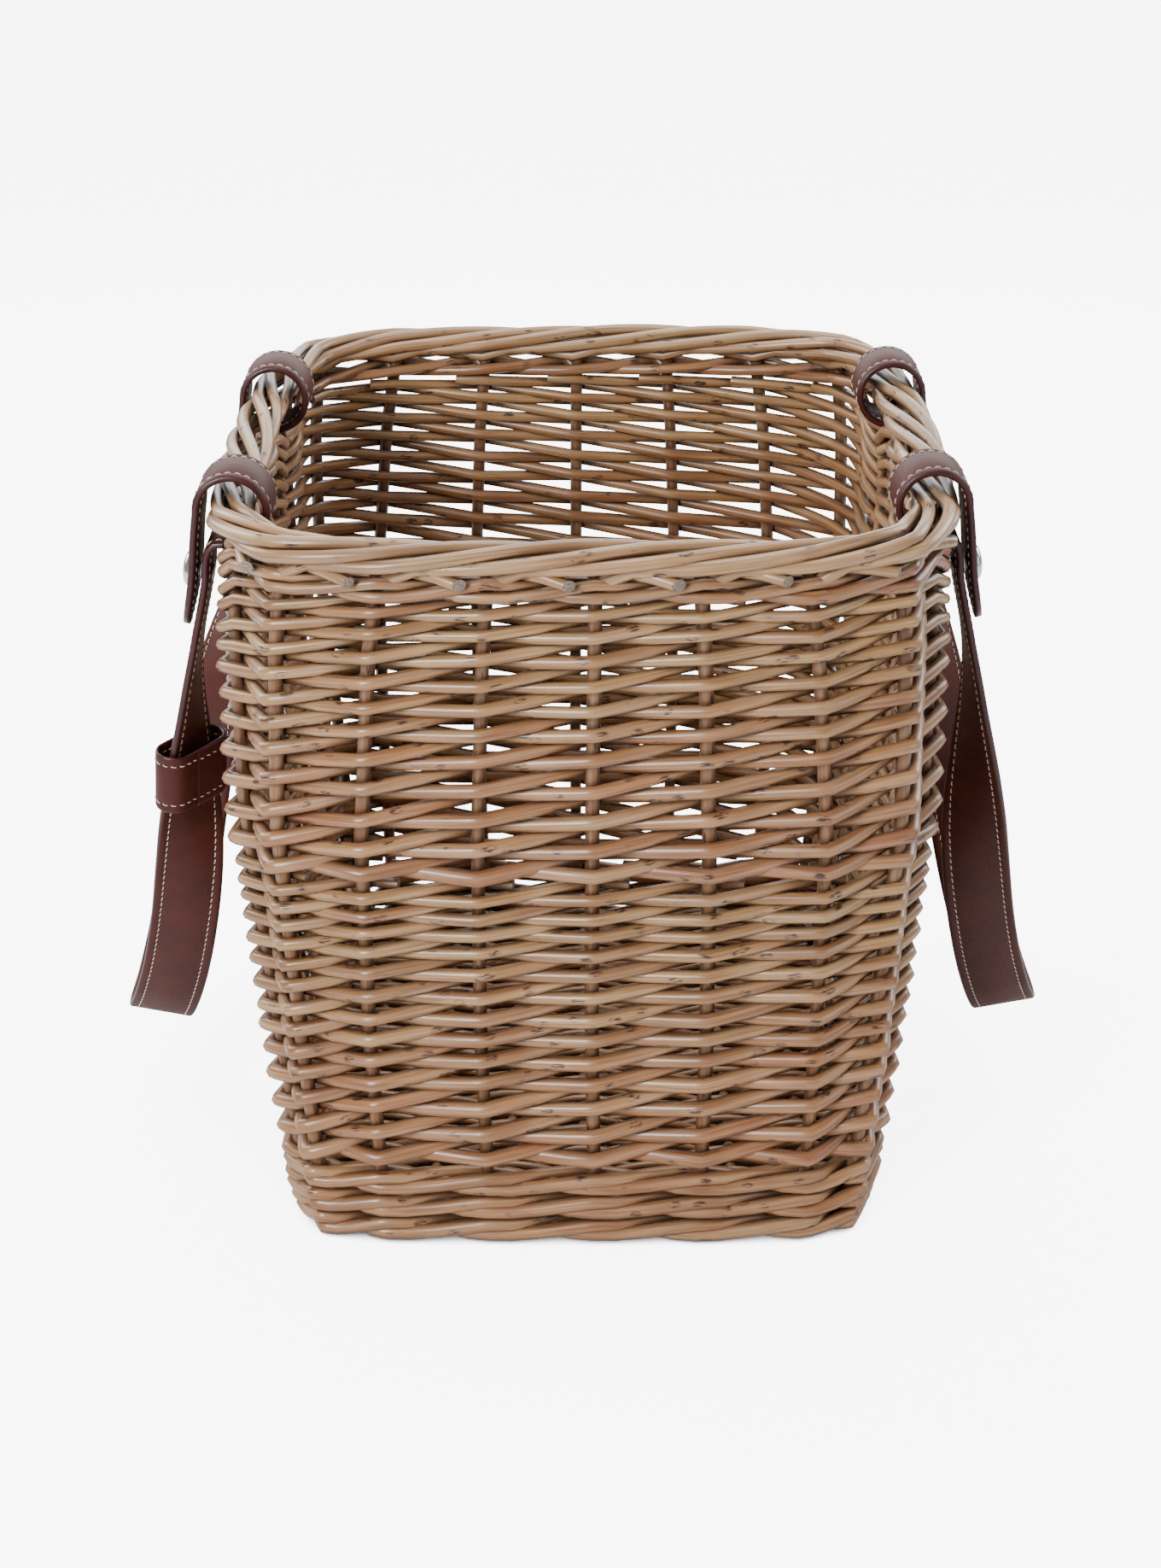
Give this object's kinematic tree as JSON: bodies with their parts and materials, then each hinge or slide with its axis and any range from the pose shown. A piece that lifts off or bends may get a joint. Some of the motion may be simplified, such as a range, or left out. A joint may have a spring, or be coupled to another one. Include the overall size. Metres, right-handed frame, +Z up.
{
  "type": "wicker picnic basket",
  "caption": "Square open willow basket with a rolled border and two long leather strap handles that pass through the wall and close with press studs.",
  "frame": {"origin": "on the floor under the middle of the basket", "axes": "+Z up; +X to the right handle; the front faces -Y"},
  "size_m": [0.5246, 0.4072, 0.4051],
  "materials": {
    "willow": "semi-gloss lacquer over buff willow",
    "stakes": "semi-gloss lacquer over darker willow",
    "border_willow": "semi-gloss lacquer over pale willow",
    "leather": "smooth dark chestnut, painted edges, cream stitching",
    "steel": "polished"
  },
  "bodies": {
    "basket": {"base_weave": "willow", "foot_wale": "willow", "lower_siding": "willow", "upper_siding": "willow", "top_wale": "willow", "base_stick_1": "stakes", "base_stick_2": "stakes", "base_stick_3": "stakes", "base_stick_4": "stakes", "base_stick_5": "stakes", "base_stick_6": "stakes", "base_stick_7": "stakes", "stake_01": "stakes", "stake_02": "stakes", "stake_03": "stakes", "stake_04": "stakes", "stake_05": "stakes", "stake_06": "stakes", "stake_07": "stakes", "stake_08": "stakes", "stake_09": "stakes", "stake_10": "stakes", "stake_11": "stakes", "stake_12": "stakes", "stake_13": "stakes", "stake_14": "stakes", "stake_15": "stakes", "stake_16": "stakes", "stake_17": "stakes", "stake_18": "stakes", "stake_19": "stakes", "stake_20": "stakes", "stake_21": "stakes", "stake_22": "stakes", "stake_23": "stakes", "stake_24": "stakes", "stake_25": "stakes", "stake_26": "stakes", "border": "border_willow"},
    "left_handle": {"left_strap": "leather", "left_front_loop": "leather", "left_front_stud_post": "steel", "left_back_loop": "leather", "left_back_stud_post": "steel"},
    "left_front_tab": {"left_front_tab": "leather", "left_front_stud_cap": "steel"},
    "left_back_tab": {"left_back_tab": "leather", "left_back_stud_cap": "steel"},
    "right_handle": {"right_strap": "leather", "right_front_loop": "leather", "right_front_stud_post": "steel", "right_back_loop": "leather", "right_back_stud_post": "steel"},
    "right_front_tab": {"right_front_tab": "leather", "right_front_stud_cap": "steel"},
    "right_back_tab": {"right_back_tab": "leather", "right_back_stud_cap": "steel"},
    "wrap": {"handle_wrap": "leather"}
  },
  "joints": [
    {"name": "left_handle_swing", "type": "hinge", "parent": "basket", "child": "left_handle", "pos_m": [-0.1713, -0.012, 0.386], "axis": [0, 1, 0], "range_deg": [0, 188]},
    {"name": "left_front_tab_opens", "type": "hinge", "parent": "left_handle", "child": "left_front_tab", "pos_m": [-0.1906, -0.108, 0.386], "axis": [0, 1, 0], "range_deg": [0, 75]},
    {"name": "left_back_tab_opens", "type": "hinge", "parent": "left_handle", "child": "left_back_tab", "pos_m": [-0.1906, 0.084, 0.386], "axis": [0, 1, 0], "range_deg": [0, 75]},
    {"name": "right_handle_swing", "type": "hinge", "parent": "basket", "child": "right_handle", "pos_m": [0.1713, -0.003, 0.386], "axis": [0, -1, 0], "range_deg": [0, 188]},
    {"name": "right_front_tab_opens", "type": "hinge", "parent": "right_handle", "child": "right_front_tab", "pos_m": [0.1906, -0.099, 0.386], "axis": [0, -1, 0], "range_deg": [0, 75]},
    {"name": "right_back_tab_opens", "type": "hinge", "parent": "right_handle", "child": "right_back_tab", "pos_m": [0.1906, 0.093, 0.386], "axis": [0, -1, 0], "range_deg": [0, 75]},
    {"name": "wrap_slides", "type": "slide", "parent": "left_handle", "child": "wrap", "axis": [0.0825, -0.11, 0.9905], "range_m": [-0.0035, 0.0055]}
  ]
}
